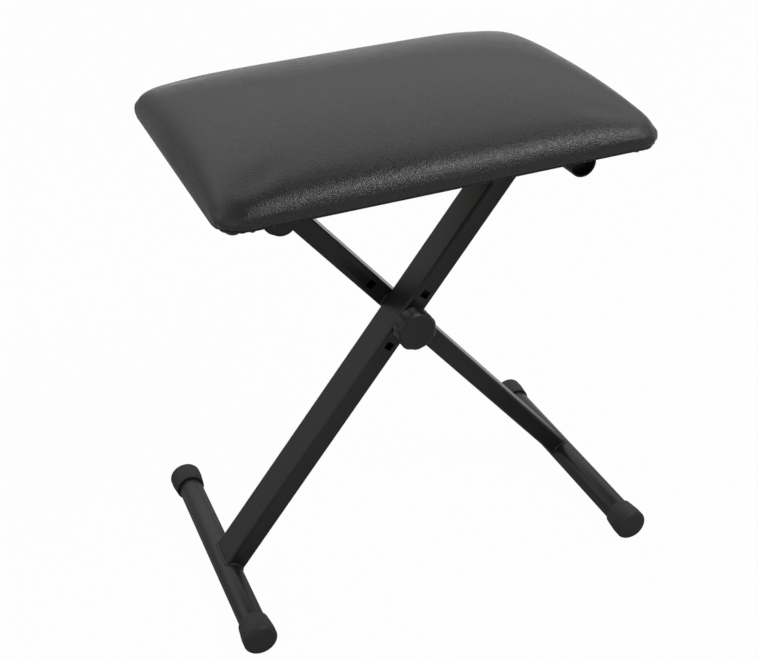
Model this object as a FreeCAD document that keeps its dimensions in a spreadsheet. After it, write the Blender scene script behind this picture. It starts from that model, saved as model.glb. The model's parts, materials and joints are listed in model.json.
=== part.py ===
# Folding keyboard bench: two crossed legs on one bolt, and a padded seat that lifts off its hooks.
# Millimetres. +X runs along the seat, +Y to the back, +Z up, and the feet stand on z = 0.
import FreeCAD, Part
import math
import os
import re
import Sketcher

os.makedirs("parts", exist_ok=True)
doc = FreeCAD.newDocument("keyboard_bench")

# Driving dimensions, one spreadsheet row each
sizes = {
    "lower_length": 314.0,      # bolt to foot tube, along a leg
    "upper_length": 214.0,      # bolt to cross tube, along a leg
    "leg_angle": 50.5,          # leg to the floor, degrees
    "leg_width": 38.0,          # leg tube, front to back
    "leg_depth": 20.0,          # leg tube, seen from the front
    "leg_wall": 1.5,
    "leg_corner": 3.0,
    "leg_spacing": 3.0,         # gap between the two legs
    "hole_side": 8.0,           # square height holes
    "hole_pitch": 30.5,
    "tube_radius": 12.7,        # foot and cross tubes
    "tube_wall": 1.5,
    "foot_length": 276.0,
    "cross_overrun": 11.25,     # cross tube past the outer side of a saddle
    "cross_shift": 4.0,         # each cross tube stands off centre, towards its own leg
    "cap_radius": 16.5,
    "cap_rim": 14.9,
    "cap_length": 26.0,
    "cap_floor": 4.0,
    "cap_flat": 0.4,            # moulded flat under each cap
    "cap_taper": 15.0,          # from the rim to the full width
    "cap_round": 2.6,
    "plug_length": 14.0,
    "plug_recess": 9.0,
    "bolt_radius": 3.95,
    "bolt_neck": 7.9,
    "neck_length": 5.0,
    "head_radius": 9.6,
    "head_height": 4.6,
    "washer_radius": 11.0,
    "washer_thickness": 1.6,
    "washer_bore": 4.25,
    "knob_radius": 17.5,
    "knob_grip": 16.0,
    "knob_collar": 7.5,
    "collar_radius": 10.5,
    "flute_radius": 5.0,
    "flute_reach": 3.6,
    "flute_count": 10.0,
    "knob_rim": 2.6,
    "knob_round": 2.4,
    "insert_radius": 6.0,
    "insert_length": 13.0,
    "insert_bore": 4.05,
    "face_depth": 1.2,
    "run_gap": 0.1,             # flat faces that slide on each other
    "round_gap": 0.3,           # round faces that turn or lift off
    "saddle_inset": 59.0,       # saddle centre, from the seat's front or back
    "saddle_width": 17.5,
    "saddle_sheet": 2.0,
    "saddle_bend": 2.0,
    "saddle_flange": 16.0,
    "tube_to_board": 17.6,      # cross tube axis to the underside of the board
    "hook_lip": 6.0,            # inboard lip of a hook, above the tube axis
    "hook_curl": 18.0,          # outboard curl of a hook below the axis, degrees
    "pad_skirt": 8.0,
    "screw_radius": 2.9,
    "screw_head": 5.6,
    "screw_head_height": 3.2,
    "screw_bite": 10.0,         # screw into the board
    "seat_overhang": 63.88,     # seat past the cross tube axis at each end
    "seat_depth": 314.0,
    "seat_corner": 28.0,
    "seat_tuck": 3.0,
    "tuck_height": 7.5,
    "roll_radius": 22.5,
    "roll_turn": 70.0,          # how far the edge roll turns before the crown takes over
    "end_roll": 31.0,           # height of the fuller roll at both ends
    "crown_height": 23.0,
    "cover_thickness": 1.0,
    "hem_width": 25.0,
    "board_margin": 5.5,
    "board_thickness": 12.0,
}

# Sizes that follow from the driving ones
derived = {
    "foot_x": "(lower_length * cos(leg_angle))",
    "foot_z": "(cap_radius - cap_flat)",
    "bolt_z": "(foot_z + lower_length * sin(leg_angle))",
    "cross_x": "(upper_length * cos(leg_angle))",
    "cross_z": "(bolt_z + upper_length * sin(leg_angle))",
    "seat_length": "(2 * (cross_x + seat_overhang))",
    "saddle_offset": "(seat_depth / 2 - saddle_inset)",
    "cross_length": "(2 * saddle_offset + saddle_width + 2 * cross_overrun)",
    "leg_y": "((leg_width + leg_spacing) / 2)",
    "leg_face": "(leg_width + leg_spacing / 2)",
    "washer_face": "(leg_face + washer_thickness)",
    "knob_back": "(washer_face + run_gap)",
    "knob_front": "(knob_back + knob_collar + knob_grip)",
    "board_z": "(cross_z + tube_to_board)",
    "board_top": "(board_z + board_thickness)",
    "seat_z": "(board_z - cover_thickness)",
    "saddle_bore": "(tube_radius + round_gap)",
    "saddle_shell": "(saddle_bore + saddle_sheet)",
    "bend_outer": "(saddle_bend + saddle_sheet)",
    "saddle_reach": "(saddle_shell + saddle_flange)",
    "screw_x": "(saddle_shell + saddle_flange / 2 + saddle_bend / 2)",
    "board_x": "(seat_length / 2 - board_margin)",
    "board_y": "(seat_depth / 2 - board_margin)",
    "board_corner": "(seat_corner - board_margin / 2)",
}

sheet = doc.addObject("Spreadsheet::Sheet", "Sizes")
for row, (name, value) in enumerate(sizes.items(), 1):
    sheet.set("A%d" % row, name)
    sheet.set("B%d" % row, str(value))
    sheet.setAlias("B%d" % row, name)
doc.recompute()


def sized(text):
    """Spell an expression out in spreadsheet cells."""
    def cell(match):
        word = match.group()
        if word in derived:
            return sized(derived[word])
        return "Sizes." + word if word in sizes else word
    return re.sub(r"[a-z_]+", cell, str(text))


def num(text):
    """The value of an expression as a plain number."""
    return float(sheet.evalExpression(sized(text)))


def bind(item, **settings):
    """Bind properties of an object to expressions."""
    for name, text in settings.items():
        item.setExpression(name, sized(text))


def place(item, x=0, y=0, z=0, turn=None, axis=(0, 1, 0)):
    """Put an object at x, y, z, turned by an angle about an axis."""
    item.Placement = FreeCAD.Placement(
        FreeCAD.Vector(num(x), num(y), num(z)),
        FreeCAD.Rotation(FreeCAD.Vector(*axis), num(turn or 0)))
    for letter, text in zip("xyz", (x, y, z)):
        item.setExpression(".Placement.Base." + letter, sized(text))
    if turn is not None:
        item.setExpression(".Placement.Rotation.Angle", sized(turn))
    return item


def newBody(label):
    body = doc.addObject("PartDesign::Body", label)
    body.Label = label
    return body


def newSketch(body, role, offset=0):
    """A sketch on one of the body's own origin planes, offset along its normal."""
    sketch = body.newObject("Sketcher::SketchObject", body.Label + "_sketch")
    plane = [item for item in body.Origin.OriginFeatures if item.Role == role][0]
    sketch.AttachmentSupport = [(plane, "")]
    sketch.MapMode = "FlatFace"
    sketch.setExpression(".AttachmentOffset.Base.z", sized(offset))
    return sketch


def limit(sketch, kind, text, *ends):
    """One dimension of a sketch, bound to an expression."""
    index = sketch.addConstraint(Sketcher.Constraint(kind, *ends, num(text)))
    sketch.setExpression("Constraints[%d]" % index, sized(text))


def circle(sketch, radius, x=0, y=0):
    centre = FreeCAD.Vector(num(x), num(y), 0)
    index = sketch.addGeometry(Part.Circle(centre, FreeCAD.Vector(0, 0, 1), num(radius)), False)
    limit(sketch, "Radius", radius, index)
    limit(sketch, "DistanceX", x, -1, 1, index, 3)
    limit(sketch, "DistanceY", y, -1, 1, index, 3)


def outline(sketch, corners, arcs={}):
    """A closed outline. arcs: number of an edge -> (radius, +1 for a left turn, -1 for a right one)."""
    points = [FreeCAD.Vector(num(x), num(y), 0) for x, y in corners]
    ends = []
    for number, start in enumerate(points):
        stop = points[(number + 1) % len(points)]
        if number in arcs:
            radius, side = arcs[number]
            chord = stop - start
            half = chord.Length / 2
            depth = math.sqrt(max(num(radius) ** 2 - half ** 2, 0))
            normal = FreeCAD.Vector(-chord.y, chord.x, 0).normalize() * side
            middle = (start + stop) * 0.5 + normal * (depth - num(radius))
            index = sketch.addGeometry(Part.Arc(start, middle, stop), False)
            ends.append((index, 1, 2) if side > 0 else (index, 2, 1))
        else:
            index = sketch.addGeometry(Part.LineSegment(start, stop), False)
            ends.append((index, 1, 2))
    for number, (index, first, last) in enumerate(ends):
        after, joined, _ = ends[(number + 1) % len(ends)]
        sketch.addConstraint(Sketcher.Constraint("Coincident", index, last, after, joined))
        limit(sketch, "DistanceX", corners[number][0], -1, 1, index, first)
        limit(sketch, "DistanceY", corners[number][1], -1, 1, index, first)
        if number in arcs:
            limit(sketch, "Radius", arcs[number][0], index)


def rounded(sketch, width, height, radius, x=0, y=0):
    """A rectangle with round corners about x, y."""
    right, left = "%s + (%s) / 2" % (x, width), "%s - (%s) / 2" % (x, width)
    top, low = "%s + (%s) / 2" % (y, height), "%s - (%s) / 2" % (y, height)
    r = "(%s)" % radius
    corners = [(left + " + " + r, low), (right + " - " + r, low), (right, low + " + " + r),
               (right, top + " - " + r), (right + " - " + r, top), (left + " + " + r, top),
               (left, top + " - " + r), (left, low + " + " + r)]
    outline(sketch, corners, {edge: (radius, 1) for edge in (1, 3, 5, 7)})


def square(sketch, side, x=0):
    half = "(%s) / 2" % side
    low, high = "%s - %s" % (x, half), "%s + %s" % (x, half)
    outline(sketch, [(low, "-" + half), (high, "-" + half), (high, half), (low, half)])


def pad(body, sketch, length, both=False, reverse=False):
    item = body.newObject("PartDesign::Pad", body.Label + "_pad")
    item.Profile = sketch
    bind(item, Length=length)
    item.Midplane = both
    item.Reversed = reverse
    return item


def pocket(body, sketch, length, both=False, reverse=False):
    """A cut, checked to take material away."""
    doc.recompute()
    before = body.Shape.Volume
    item = body.newObject("PartDesign::Pocket", body.Label + "_cut")
    item.Profile = sketch
    bind(item, Length=length)
    item.Midplane = both
    item.Reversed = reverse
    doc.recompute()
    assert body.Shape.Volume < before, body.Label + " cut takes nothing away"
    return item


def revolve(body, sketch, axis="V_Axis"):
    item = body.newObject("PartDesign::Revolution", body.Label + "_turned")
    item.Profile = sketch
    item.ReferenceAxis = (sketch, [axis])
    item.Angle = 360
    return item


# Legs, foot tubes and cross tubes
def legTube(label, y, turn):
    """A rectangular tube along local X with the bolt at its origin, coped on both round tubes."""
    body = newBody(label)
    section = newSketch(body, "YZ_Plane", "-lower_length")
    rounded(section, "leg_width", "leg_depth", "leg_corner")
    rounded(section, "leg_width - 2 * leg_wall", "leg_depth - 2 * leg_wall", "leg_corner - leg_wall")
    pad(body, section, "lower_length + upper_length")
    copes = newSketch(body, "XZ_Plane")
    circle(copes, "tube_radius", "-lower_length")
    circle(copes, "tube_radius", "upper_length")
    pocket(body, copes, "2 * leg_width", both=True)
    hole = newSketch(body, "XZ_Plane")
    square(hole, "hole_side", "-hole_pitch")
    first = pocket(body, hole, "2 * leg_width", both=True)
    row = body.newObject("PartDesign::LinearPattern", label + "_holes")
    row.Originals = [first]
    row.Direction = (hole, ["H_Axis"])
    bind(row, Length="2 * hole_pitch")
    row.Occurrences = 3
    body.Tip = row
    return place(body, 0, y, "bolt_z", turn)


def roundTube(label, length, x, z, y=0):
    body = newBody(label)
    section = newSketch(body, "XZ_Plane")
    circle(section, "tube_radius")
    circle(section, "tube_radius - tube_wall")
    pad(body, section, length, both=True)
    return place(body, x, y, z)


def footCap(label, x, back):
    """A moulded cap that swells from its rim to a flat end, with a flat underneath."""
    body = newBody(label)
    profile = newSketch(body, "XY_Plane")
    start = "foot_length / 2 + cap_floor - cap_length"
    end = "foot_length / 2 + cap_floor"
    outline(profile, [("tube_radius", start), ("cap_rim", start), ("cap_radius", start + " + cap_taper"),
                      ("cap_radius", end + " - cap_round"), ("cap_radius - cap_round", end), ("0", end),
                      ("0", "foot_length / 2"), ("tube_radius", "foot_length / 2")])
    revolve(body, profile)
    sole = newSketch(body, "XZ_Plane")
    rounded(sole, "4 * cap_radius", "cap_radius", "cap_flat", 0, "-foot_z - cap_radius / 2")
    pocket(body, sole, "4 * foot_length", both=True)
    return place(body, x, 0, "foot_z", 0 if back else 180, (0, 0, 1))


def endPlug(label, x, y, back, recess):
    """A push-in plug for a cross tube, flush or set back."""
    body = newBody(label)
    profile = newSketch(body, "XY_Plane")
    face = "cross_length / 2 - %s" % recess
    bore = "tube_radius - tube_wall"
    outline(profile, [("0", face), ("0", face + " - plug_length"), (bore, face + " - plug_length"),
                      (bore, face)])
    revolve(body, profile)
    return place(body, x, y, "cross_z", 0 if back else 180, (0, 0, 1))


for leg, y, turn, side in (("front", "-leg_y", "-leg_angle", -1), ("rear", "leg_y", "leg_angle - 180", 1)):
    footX, crossX, crossY = "%d * foot_x" % side, "%d * cross_x" % -side, "%d * cross_shift" % side
    legTube(leg + "_leg_tube", y, turn)
    roundTube(leg + "_foot_tube", "foot_length", footX, "foot_z")
    roundTube(leg + "_cross_tube", "cross_length", crossX, "cross_z", crossY)
    for end, back in (("front", False), ("back", True)):
        footCap("%s_foot_cap_%s" % (leg, end), footX, back)
        endPlug("%s_tube_plug_%s" % (leg, end), crossX, crossY, back, "plug_recess" if leg == "front" else "0")


# Crossing bolt, washers and knob, all along the bolt axis
def pivotBolt():
    """A carriage bolt: round head behind the rear leg, square neck in its hole, shank to the knob."""
    body = newBody("pivot_bolt")
    profile = newSketch(body, "XY_Plane")
    tip = "-knob_back - insert_length + 0.5"
    dome = "(head_radius * head_radius + head_height * head_height) / (2 * head_height)"
    outline(profile, [("0", tip), ("bolt_radius - 0.6", tip), ("bolt_radius", tip + " + 0.8"),
                      ("bolt_radius", "leg_face"), ("head_radius", "leg_face"),
                      ("0", "leg_face + head_height")], {4: (dome, 1)})
    revolve(body, profile)
    neck = newSketch(body, "XZ_Plane", "-leg_face")
    square(neck, "bolt_neck")
    pad(body, neck, "neck_length")
    place(body, 0, 0, "bolt_z", "leg_angle")


def ring(label, outer, bore, start, thickness):
    """A flat washer on the bolt axis."""
    body = newBody(label)
    profile = newSketch(body, "XY_Plane")
    outline(profile, [(bore, start), (outer, start), (outer, "%s + %s" % (start, thickness)),
                      (bore, "%s + %s" % (start, thickness))])
    revolve(body, profile)
    place(body, 0, 0, "bolt_z")


def knobBody():
    """A moulded grip with flutes, a collar behind it and a dished front."""
    body = newBody("knob_grip")
    profile = newSketch(body, "XY_Plane")
    back, front, step = "-knob_back", "-knob_front", "-knob_back - knob_collar"
    dish = "knob_radius - knob_round - knob_rim"
    pocketEnd = "-knob_back - insert_length"
    outline(profile, [("insert_radius", back), ("insert_radius", pocketEnd), ("0", pocketEnd),
                      ("0", front + " + face_depth"), (dish, front + " + face_depth"), (dish, front),
                      ("knob_radius - knob_round", front), ("knob_radius", front + " + knob_round"),
                      ("knob_radius", step + " - knob_round"), ("knob_radius - knob_round", step),
                      ("collar_radius", step), ("collar_radius", back)])
    revolve(body, profile)
    flute = newSketch(body, "XZ_Plane")
    circle(flute, "flute_radius", "knob_radius + flute_reach")
    first = pocket(body, flute, "4 * knob_front", both=True)
    wheel = body.newObject("PartDesign::PolarPattern", "knob_flutes")
    wheel.Originals = [first]
    wheel.Axis = (flute, ["N_Axis"])
    wheel.Angle = 360
    wheel.Occurrences = int(num("flute_count"))
    body.Tip = wheel
    place(body, 0, 0, "bolt_z")


pivotBolt()
ring("leg_spacer", "washer_radius", "washer_bore", "-leg_spacing / 2 + run_gap", "leg_spacing - run_gap")
ring("knob_washer", "washer_radius", "washer_bore", "-washer_face", "washer_thickness")
ring("knob_insert", "insert_radius", "insert_bore", "-knob_back - insert_length", "insert_length")
ring("knob_face", "knob_radius - knob_round - knob_rim", "0.8", "-knob_front + 0.2", "face_depth - 0.2")
knobBody()


# Saddles that hold the seat on the cross tubes
def saddleScrewHoles(body):
    holes = newSketch(body, "XY_Plane", "tube_to_board")
    for side in (-1, 1):
        circle(holes, "screw_radius + run_gap", "%d * screw_x" % side)
    pocket(body, holes, "2 * saddle_sheet")


def pivotSaddle(label, y):
    """A bent strap under the tube with a flange each side."""
    body = newBody(label)
    profile = newSketch(body, "XZ_Plane")
    top, low, bend = "tube_to_board", "tube_to_board - saddle_sheet", "tube_to_board - bend_outer"
    bore, shell, root = "saddle_bore", "saddle_shell", "saddle_bore + bend_outer"
    outline(profile, [("-saddle_reach", top), ("-(%s)" % root, top), ("-" + bore, bend), ("-" + bore, "0"),
                      ("0", "-" + bore), (bore, "0"), (bore, bend), (root, top), ("saddle_reach", top),
                      ("saddle_reach", low), (root, low), (shell, bend), (shell, "0"), ("0", "-" + shell),
                      ("-" + shell, "0"), ("-" + shell, bend), ("-(%s)" % root, low), ("-saddle_reach", low)],
            {1: ("bend_outer", -1), 3: (bore, 1), 4: (bore, 1), 6: ("bend_outer", -1),
             10: ("saddle_bend", 1), 12: (shell, -1), 13: (shell, -1), 15: ("saddle_bend", 1)})
    pad(body, profile, "saddle_width", both=True)
    saddleScrewHoles(body)
    place(body, "-cross_x", y, "cross_z")


def hookSaddle(label, y):
    """A plate with a short inboard lip and an outboard lip that curls under the tube."""
    body = newBody(label)
    profile = newSketch(body, "XZ_Plane")
    top, low = "tube_to_board", "tube_to_board - saddle_sheet"
    bore, shell = "saddle_bore", "saddle_shell"
    curl = [("%s * cos(hook_curl)" % r, "-%s * sin(hook_curl)" % r) for r in (bore, shell)]
    outline(profile, [("-saddle_reach", top), ("-saddle_reach", low), ("-%s - saddle_bend" % shell, low),
                      ("-" + shell, low + " - saddle_bend"), ("-" + shell, "hook_lip"),
                      ("-" + bore, "hook_lip"), ("-" + bore, low), (bore, low), (bore, "0"), curl[0], curl[1],
                      (shell, "0"), (shell, low + " - saddle_bend"), (shell + " + saddle_bend", low),
                      ("saddle_reach", low), ("saddle_reach", top)],
            {2: ("saddle_bend", -1), 8: (bore, -1), 10: (shell, 1), 12: ("saddle_bend", -1)})
    pad(body, profile, "saddle_width", both=True)
    saddleScrewHoles(body)
    place(body, "cross_x", y, "cross_z")


def tubePad(label, x, y, top):
    """A nylon packer between the board and the tube, hollowed to the tube."""
    body = newBody(label)
    profile = newSketch(body, "XZ_Plane")
    half = "saddle_bore - run_gap"
    edge = "sqrt(saddle_bore * saddle_bore - pad_skirt * pad_skirt)"
    outline(profile, [("-(%s)" % half, top), ("-(%s)" % half, "pad_skirt"), ("-" + edge, "pad_skirt"),
                      ("0", "saddle_bore"), (edge, "pad_skirt"), (half, "pad_skirt"), (half, top)],
            {2: ("saddle_bore", -1), 3: ("saddle_bore", -1)})
    pad(body, profile, "saddle_width", both=True)
    place(body, x, y, "cross_z")


for end, side in (("front", -1), ("back", 1)):
    saddleY = "%d * saddle_offset" % side
    pivotSaddle("pivot_saddle_" + end, saddleY)
    hookSaddle("hook_saddle_" + end, saddleY)
    tubePad("pivot_pad_" + end, "-cross_x", saddleY, "tube_to_board")
    tubePad("hook_pad_" + end, "cross_x", saddleY, "tube_to_board - saddle_sheet")

screwPlaces = [(x + flange, y) for x in ("-cross_x", "cross_x") for flange in (" - screw_x", " + screw_x")
               for y in ("-saddle_offset", "saddle_offset")]


def cylinder(name, radius, length, x, y, z):
    item = doc.addObject("Part::Cylinder", name)
    bind(item, Radius=radius, Height=length)
    return place(item, x, y, z)


def boolean(kind, name, first, second):
    item = doc.addObject("Part::" + kind, name)
    item.Base, item.Tool = first, second
    return item


def group(label, items):
    item = doc.addObject("Part::Compound", label)
    item.Label = label
    item.Links = items
    return item


def saddleScrews():
    """Pan-head wood screws from below, through the flanges into the board."""
    screws = []
    under = "board_z - saddle_sheet - screw_head_height"
    for number, (x, y) in enumerate(screwPlaces):
        head = cylinder("screw_head_%d" % number, "screw_head", "screw_head_height", x, y, under)
        shank = cylinder("screw_shank_%d" % number, "screw_radius",
                         "screw_bite + saddle_sheet + screw_head_height", x, y, under)
        screws.append(boolean("Fuse", "screw_%d" % number, head, shank))
    return group("saddle_screws", screws)


def seatBoard():
    body = newBody("seat_board")
    plan = newSketch(body, "XY_Plane", "board_z")
    rounded(plan, "2 * board_x", "2 * board_y", "board_corner")
    pad(body, plan, "board_thickness")
    holes = newSketch(body, "XY_Plane", "board_z")
    for x, y in screwPlaces:
        circle(holes, "screw_radius", x, y)
    pocket(body, holes, "screw_bite", reverse=True)


saddleScrews()
seatBoard()


# The cushion: drawn-in lower edge, rolled rim and crowned top
def cushionRing(insetX, insetY, height, growth=1.1):
    """A level rounded rectangle, its corners growing with the inset."""
    halfX, halfY = num("seat_length") / 2 - insetX, num("seat_depth") / 2 - insetY
    radius = min(num("seat_corner") + growth * insetY, 0.85 * halfX, 0.85 * halfY)
    edges = []
    for turn, (signX, signY) in enumerate(((1, 1), (-1, 1), (-1, -1), (1, -1))):
        centre = FreeCAD.Vector(signX * (halfX - radius), signY * (halfY - radius), height)
        arc = Part.Circle(centre, FreeCAD.Vector(0, 0, 1), radius).toShape
        edges.append(arc(math.radians(90 * turn), math.radians(90 * turn + 90)))
    wire = []
    for number, edge in enumerate(edges):
        wire += [edge, Part.makeLine(edge.lastVertex().Point, edges[(number + 1) % 4].firstVertex().Point)]
    return Part.Wire(wire)


def endInset(rise, offset):
    """How far the cushion's ends lie in at a height above its widest line."""
    roll, tall, last = num("roll_radius"), num("end_roll"), math.radians(num("roll_turn"))
    if rise <= (tall - offset) * math.sin(last):
        return roll - (roll - offset) * math.cos(math.asin(rise / (tall - offset)))
    shoulder, top = roll - roll * math.cos(last), roll * math.sin(last) + num("crown_height")
    level = (rise + offset - tall * math.sin(last)) / (top - tall * math.sin(last))
    return shoulder + (1 - (1 - level) ** (1 / 3)) * (num("seat_length") / 2 - shoulder)


def cushionProfile(offset):
    """Insets at the ends and the sides, and the height, from the lower edge to the top, moved in by offset."""
    tuck, edgeHeight, roll = num("seat_tuck"), num("tuck_height"), num("roll_radius")
    last, crown, halfDepth = num("roll_turn"), num("crown_height"), num("seat_depth") / 2
    points = []
    for share in (0, 0.5):
        inset = tuck * (1 - share) ** 2 + offset
        points.append((inset, inset, edgeHeight * share))
    for share in (0, 0.25, 0.5, 0.75, 1):
        angle = math.radians(last * share)
        reach = roll - offset
        rise = reach * math.sin(angle)
        points.append((endInset(rise, offset), roll - reach * math.cos(angle), edgeHeight + rise))
    shoulder = roll - roll * math.cos(math.radians(last))
    for share in (0.12, 0.28, 0.48, 0.7, 0.9):
        inset = shoulder + share * (halfDepth - shoulder)
        rise = roll * math.sin(math.radians(last)) + crown * (1 - (1 - share) ** 2) - offset
        points.append((endInset(rise, offset), inset, edgeHeight + rise))
    return points


def cushionSolid(offset, base, lowest=None):
    """A loft through level rings; lowest cuts it off at that height."""
    rings = [cushionRing(insetX, insetY, base + height) for insetX, insetY, height in cushionProfile(offset)]
    solid = Part.makeLoft(rings, True, True)
    if lowest is not None:
        span = num("seat_length")
        block = Part.makeBox(2 * span, 2 * span, span, FreeCAD.Vector(-span, -span, lowest))
        solid = solid.common(block)
    return solid


def softPiece(label, shape):
    item = doc.addObject("Part::Feature", label)
    item.Label = label
    item.Shape = shape
    return item


skin, base = num("cover_thickness"), num("seat_z")
whole = cushionSolid(0, base)
room = cushionSolid(skin, base, num("board_z"))
hem = num("hem_width")
mouth = Part.Face(cushionRing(hem, hem, base - skin, 0))
mouth = mouth.extrude(FreeCAD.Vector(0, 0, 3 * skin))
softPiece("seat_cover", whole.cut(room).cut(mouth))
softPiece("seat_foam", cushionSolid(skin + num("round_gap"), base, num("board_top")))

# Check every object, then write one file for each sub-part
doc.recompute()
for item in doc.Objects:
    assert not {"Invalid", "Error"} & set(item.State), item.Label + " failed"
inner = {link for item in doc.Objects for link in item.OutList if item.TypeId.startswith("Part::")}
nodes = [item for item in doc.Objects if item not in inner and (item.TypeId == "PartDesign::Body"
         or item.TypeId in ("Part::Compound", "Part::Feature") and item.getParentGeoFeatureGroup() is None)]
for item in nodes:
    shape = item.Shape
    assert not shape.isNull() and shape.isValid() and shape.Solids, item.Label + " is not a valid solid"
    shape.exportStep("parts/%s.step" % item.Label)
    box = shape.BoundBox
    print("%-24s %d solid %9.0f mm3  x %7.1f %7.1f  y %7.1f %7.1f  z %6.1f %6.1f" % (
        item.Label, len(shape.Solids), shape.Volume, box.XMin, box.XMax, box.YMin, box.YMax, box.ZMin, box.ZMax))
print(len(nodes), "sub-parts")
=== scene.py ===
import json
import math
import random
import bpy
import bmesh
from mathutils import Matrix, Vector, noise


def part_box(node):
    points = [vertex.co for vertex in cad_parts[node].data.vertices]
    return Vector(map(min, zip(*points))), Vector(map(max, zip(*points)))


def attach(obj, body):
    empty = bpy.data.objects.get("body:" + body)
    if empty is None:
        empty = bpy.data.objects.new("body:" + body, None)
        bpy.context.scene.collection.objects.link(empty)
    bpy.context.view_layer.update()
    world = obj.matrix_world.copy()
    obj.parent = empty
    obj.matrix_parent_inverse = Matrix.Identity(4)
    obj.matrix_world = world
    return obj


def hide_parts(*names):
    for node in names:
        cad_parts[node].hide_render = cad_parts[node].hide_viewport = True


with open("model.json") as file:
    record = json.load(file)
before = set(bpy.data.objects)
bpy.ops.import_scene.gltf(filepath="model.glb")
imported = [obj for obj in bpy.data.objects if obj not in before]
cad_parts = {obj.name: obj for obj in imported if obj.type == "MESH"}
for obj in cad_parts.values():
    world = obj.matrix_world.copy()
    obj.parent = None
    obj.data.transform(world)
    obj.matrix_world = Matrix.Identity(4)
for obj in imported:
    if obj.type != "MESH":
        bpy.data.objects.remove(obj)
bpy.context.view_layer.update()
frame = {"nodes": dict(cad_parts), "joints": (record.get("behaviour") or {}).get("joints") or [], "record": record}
nodes = frame["nodes"]
bodyOf = {node: body for body, names in frame["record"]["behaviour"]["bodies"].items() for node in names}
joints = {joint["name"]: joint for joint in frame["joints"]}
crossing = Vector(joints["leg_scissor"]["pos_m"])
scene = bpy.context.scene
mm = 0.001
print("frame loaded:", len(nodes), "nodes")


def middle(node):
    low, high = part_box(node)
    return (low + high) / 2


# node trees
def newTree(name, sockets):
    # a shader node group with (name, type, in/out, default) sockets
    group = bpy.data.node_groups.new(name, "ShaderNodeTree")
    for label, kind, side, value in sockets:
        socket = group.interface.new_socket(name=label, in_out=side, socket_type=kind)
        if value is not None:
            socket.default_value = value
    return group, group.nodes.new("NodeGroupInput"), group.nodes.new("NodeGroupOutput")


def addNode(tree, kind, **values):
    node = tree.nodes.new(kind)
    for key, value in values.items():
        if hasattr(node, key):
            setattr(node, key, value)
        else:
            node.inputs[key.replace("_", " ")].default_value = value
    return node


def ramp(tree, source, stops):
    node = tree.nodes.new("ShaderNodeValToRGB")
    tree.links.new(source, node.inputs["Fac"])
    for index, (place, value) in enumerate(stops):
        stop = node.color_ramp.elements[index] if index < 2 else node.color_ramp.elements.new(place)
        stop.position = place
        stop.color = (*value, 1) if isinstance(value, tuple) else (value, value, value, 1)
    return node.outputs["Color"]


def mathNode(tree, operation, first, second=None, third=None):
    node = tree.nodes.new("ShaderNodeMath")
    node.operation = operation
    for socket, value in zip(node.inputs, (first, second, third)):
        if value is None:
            continue
        if isinstance(value, (int, float)):
            socket.default_value = value
        else:
            tree.links.new(value, socket)
    return node.outputs[0]


# grain of coated cloth: pebbles with fine creases between them, and a crease mask that also carries painted shade
# into the colour
grainLook = dict(wobbleScale=260.0, wobbleDetail=2.0, wobble=0.0016, creaseEdge=0.22)


def makeGrainGroup():
    group, inside, outside = newTree("pebbleGrain", [
        ("Pebble Scale", "NodeSocketFloat", "INPUT", 700.0),
        ("Crease", "NodeSocketFloat", "INPUT", 0.5),
        ("Height", "NodeSocketFloat", "OUTPUT", None),
        ("CreaseShade", "NodeSocketFloat", "OUTPUT", None)])
    place = group.nodes.new("ShaderNodeTexCoord").outputs["Object"]
    wobble = addNode(group, "ShaderNodeTexNoise", Scale=grainLook["wobbleScale"],
                     Detail=grainLook["wobbleDetail"])
    group.links.new(place, wobble.inputs["Vector"])
    shift = group.nodes.new("ShaderNodeVectorMath")
    shift.operation = "MULTIPLY_ADD"
    group.links.new(wobble.outputs["Color"], shift.inputs[0])
    shift.inputs[1].default_value = (grainLook["wobble"],) * 3
    group.links.new(place, shift.inputs[2])
    cells = addNode(group, "ShaderNodeTexVoronoi", feature="F1")
    group.links.new(shift.outputs[0], cells.inputs["Vector"])
    group.links.new(inside.outputs["Pebble Scale"], cells.inputs["Scale"])
    creases = addNode(group, "ShaderNodeTexVoronoi", feature="DISTANCE_TO_EDGE")
    group.links.new(shift.outputs[0], creases.inputs["Vector"])
    group.links.new(inside.outputs["Pebble Scale"], creases.inputs["Scale"])
    # crease mask: it cuts the pebble height, and the vinyl also uses it for painted shade in the creases
    creaseShade = ramp(group, creases.outputs["Distance"], [(0.0, 1.0), (grainLook["creaseEdge"], 0.0)])
    dome = mathNode(group, "SUBTRACT", 1.0, cells.outputs["Distance"])
    cut = mathNode(group, "MULTIPLY", creaseShade, inside.outputs["Crease"])
    group.links.new(mathNode(group, "SUBTRACT", dome, cut), outside.inputs["Height"])
    group.links.new(creaseShade, outside.inputs["CreaseShade"])
    return group


# slow patches over a surface: handling, dust and uneven gloss
patchLook = dict(detail=4.0, roughness=0.6, darkest=0.3, lightest=0.7, speckDetail=2.0, speckRoughness=0.7)


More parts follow.
